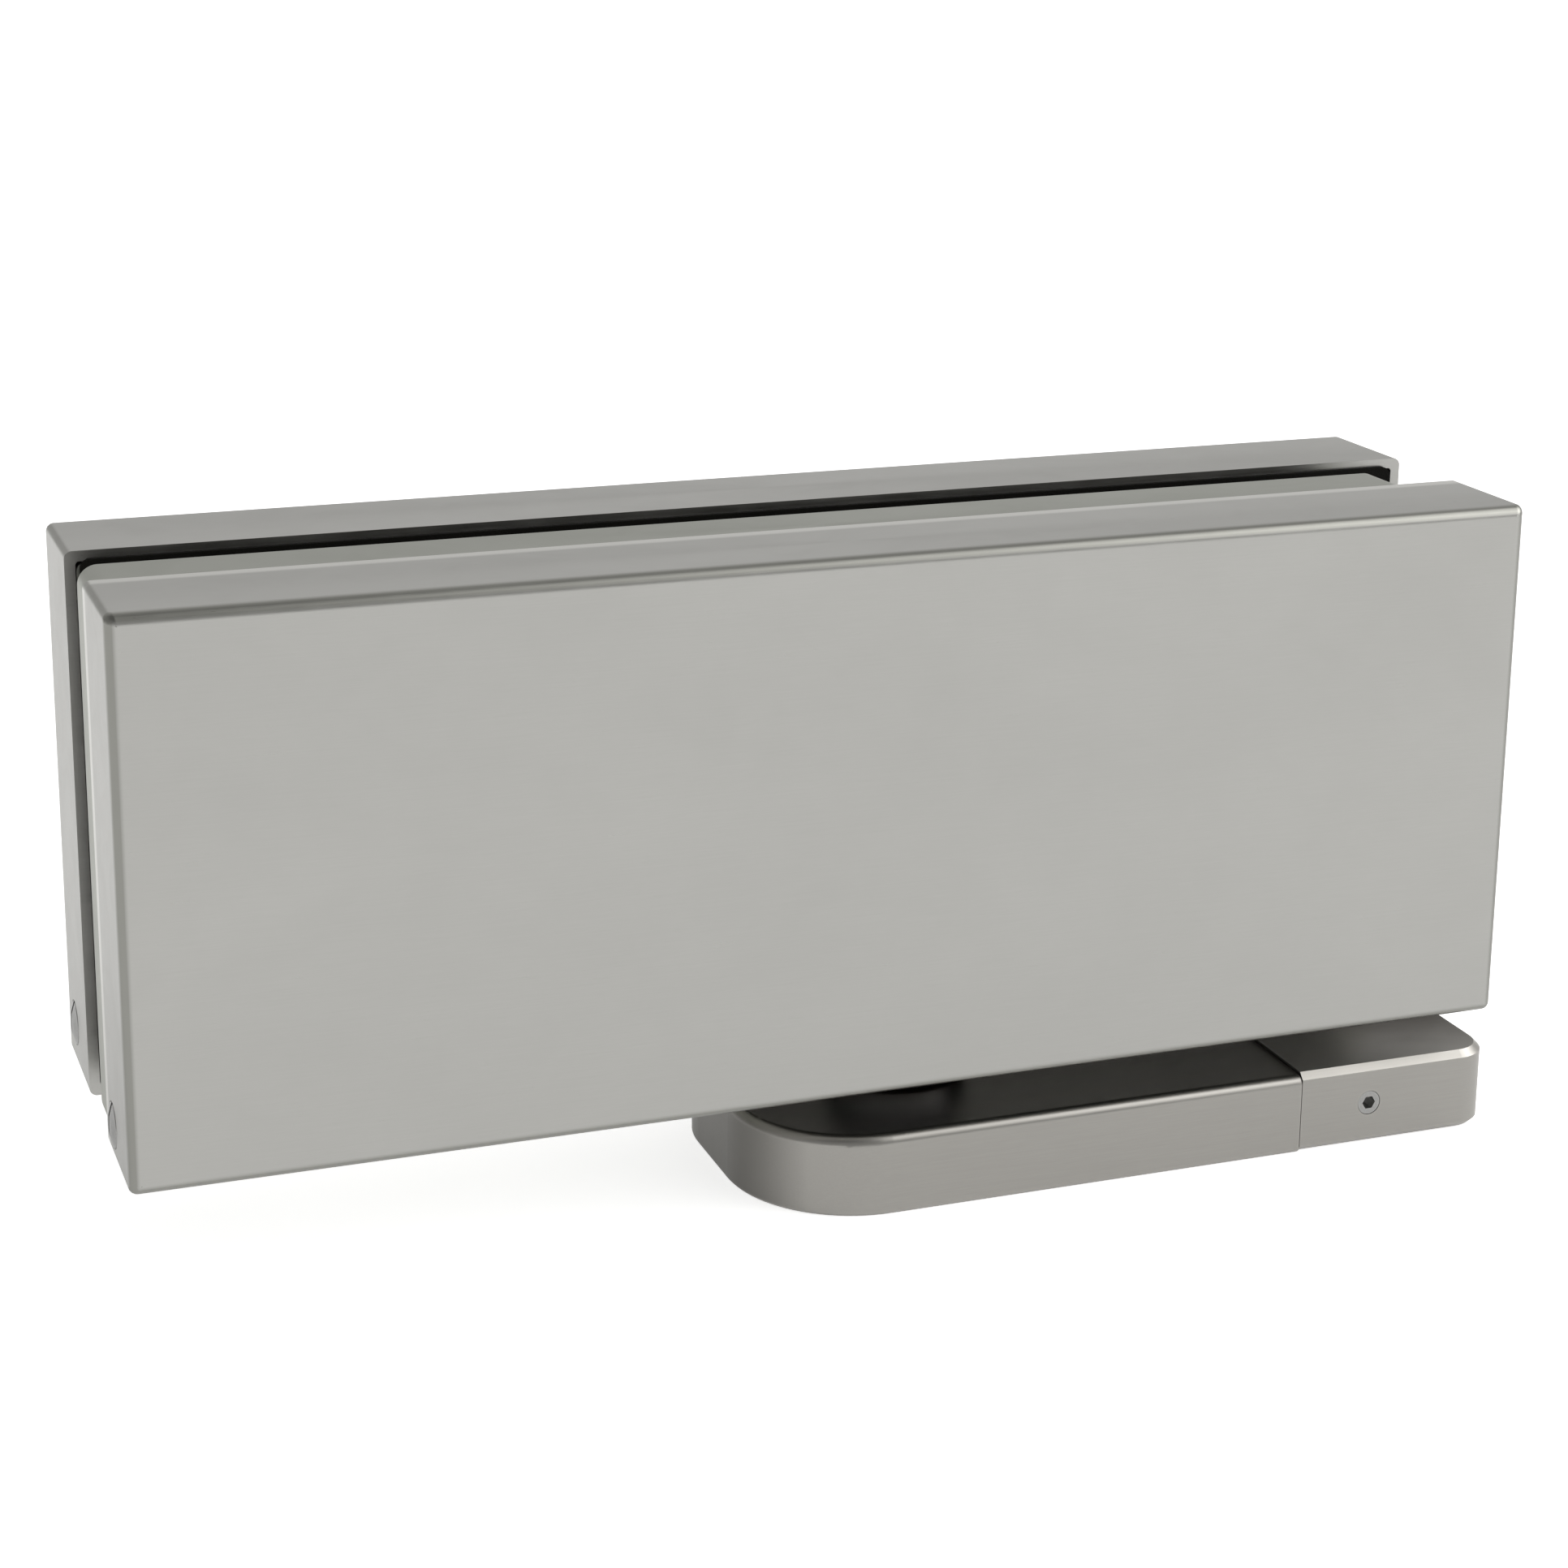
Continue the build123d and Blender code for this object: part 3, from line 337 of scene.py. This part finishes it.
# ------------------------------------------------------------------ floor, light, camera
# The floor lies a hair under the bar, so that the two faces don't fight, and is seen only from above: a view from
# below the floor shows the fitting's underside.
bpy.ops.mesh.primitive_plane_add(size=6.0, location=(0, 0, -0.00005))
floor = bpy.context.object
floor.name = "floor"
b = Build("floor_paint")
wide = b.noise(b.coords((0.01, 0.01, 0.01)), 1.0, 2.0, 0.5)
speck = b.noise(b.coords((1, 1, 1)), 1.4, 2.0, 0.6)
b.link(b.mix(b.ramp(wide, 0.3, 0.7, 0.0, 1.0), (0.90, 0.90, 0.90), (0.92, 0.92, 0.92)), b.bsdf.inputs["Base Color"])
b.link(b.ramp(speck, 0.3, 0.7, 0.75, 0.9), b.bsdf.inputs["Roughness"])
b.set(Metallic=0.0)
b.bsdf.inputs["Specular IOR Level"].default_value = 0.0
b.bsdf.inputs["Emission Color"].default_value = (1, 1, 1, 1)
seen = b.node("ShaderNodeLightPath").outputs["Is Camera Ray"]
b.link(b.math("ADD", b.math("MULTIPLY", seen, FLOOR_WHITE), FLOOR_GLOW), b.bsdf.inputs["Emission Strength"])
one_sided = b.node("ShaderNodeMixShader")
b.link(b.node("ShaderNodeNewGeometry").outputs["Backfacing"], one_sided.inputs[0])
b.link(b.bsdf.outputs[0], one_sided.inputs[1])
b.link(b.node("ShaderNodeBsdfTransparent").outputs[0], one_sided.inputs[2])
b.link(one_sided.outputs[0], b.out.inputs["Surface"])
floor.data.materials.append(b.mat)

# The room: plain white to the camera; what the metal reflects is a soft studio that is darker above on the
# left and brighter on the right and low behind.
world = bpy.data.worlds.new("studio")
bpy.context.scene.world = world
world.use_nodes = True
wt = world.node_tree
wt.nodes.clear()


def wnode(kind, **props):
    n = wt.nodes.new(kind)
    for k, v in props.items():
        setattr(n, k, v)
    return n


def wmath(op, a, b=None, clamp=False):
    n = wnode("ShaderNodeMath", operation=op, use_clamp=clamp)
    for i, v in enumerate((a, b)):
        if v is None:
            continue
        if isinstance(v, (int, float)):
            n.inputs[i].default_value = v
        else:
            wt.links.new(v, n.inputs[i])
    return n.outputs[0]


w_dir = wnode("ShaderNodeTexCoord").outputs["Generated"]


def lobe(direction, inner, outer):
    """1 within inner degrees of a direction, 0 beyond outer degrees, smooth between."""
    d = Vector(direction).normalized()
    dot = wnode("ShaderNodeVectorMath", operation="DOT_PRODUCT")
    wt.links.new(w_dir, dot.inputs[0])
    dot.inputs[1].default_value = d
    mr = wnode("ShaderNodeMapRange", clamp=True, interpolation_type="SMOOTHSTEP")
    mr.inputs["From Min"].default_value = math.cos(math.radians(outer))
    mr.inputs["From Max"].default_value = math.cos(math.radians(inner))
    wt.links.new(dot.outputs["Value"], mr.inputs["Value"])
    return mr.outputs[0]


level = None
for direction, inner, outer, amount in LOBES:
    part = wmath("MULTIPLY", lobe(direction, inner, outer), amount)
    level = part if level is None else wmath("ADD", level, part)
level = wmath("MAXIMUM", wmath("ADD", level, AMBIENT), 0.02)

w_out = wnode("ShaderNodeOutputWorld")
bg_light = wnode("ShaderNodeBackground")
bg_white = wnode("ShaderNodeBackground")
mix_bg = wnode("ShaderNodeMixShader")
path = wnode("ShaderNodeLightPath")
bg_light.inputs["Color"].default_value = (1.0, 0.995, 0.98, 1)
wt.links.new(level, bg_light.inputs["Strength"])
bg_white.inputs["Color"].default_value = (1, 1, 1, 1)
bg_white.inputs["Strength"].default_value = 1.0
wt.links.new(path.outputs["Is Camera Ray"], mix_bg.inputs[0])
wt.links.new(bg_light.outputs[0], mix_bg.inputs[1])
wt.links.new(bg_white.outputs[0], mix_bg.inputs[2])
wt.links.new(mix_bg.outputs[0], w_out.inputs["Surface"])


def soft_box(name, where, look_at, size, energy, colour=(1, 1, 1)):
    light = bpy.data.lights.new(name, "AREA")
    light.shape = "RECTANGLE"
    light.size, light.size_y = size
    light.energy = energy
    light.color = colour
    o = bpy.data.objects.new(name, light)
    bpy.context.scene.collection.objects.link(o)
    o.location = where
    o.rotation_mode = "QUATERNION"
    o.rotation_quaternion = (Vector(look_at) - Vector(where)).to_track_quat("-Z", "Y")
    return o


for args in BOXES:
    soft_box(*args)

# The camera stands where the photograph's did: in front, to the left and above.
az, el, roll = math.radians(-20.31), math.radians(14.68), math.radians(0.57)
back = Vector((math.sin(az) * math.cos(el), -math.cos(az) * math.cos(el), math.sin(el)))
fwd = -back
right = fwd.cross(Vector((0, 0, 1))).normalized()
up = right.cross(fwd)
r2 = math.cos(roll) * right + math.sin(roll) * up
u2 = -math.sin(roll) * right + math.cos(roll) * up
target = Vector((-12.5, -7.15, 47.8))
place = target - (4.12 * r2 - 19.46 * u2 + 366.83 * fwd)
cam = bpy.data.cameras.new("camera")
cam.sensor_width = 36.0
cam.lens = 36.0 * 3925.26 / 1932.0
cam.shift_y = (766.0 - 966.0) / 1932.0
cam.clip_start, cam.clip_end = 0.01, 20.0
cam_obj = bpy.data.objects.new("camera", cam)
bpy.context.scene.collection.objects.link(cam_obj)
cam_obj.matrix_world = Matrix((
    (r2.x, u2.x, back.x, place.x * MM),
    (r2.y, u2.y, back.y, place.y * MM),
    (r2.z, u2.z, back.z, place.z * MM),
    (0, 0, 0, 1),
))
bpy.context.scene.camera = cam_obj

scene = bpy.context.scene
scene.view_settings.view_transform = "Standard"
scene.view_settings.look = "None"
scene.view_settings.exposure = 0.0
scene.view_settings.gamma = 1.0
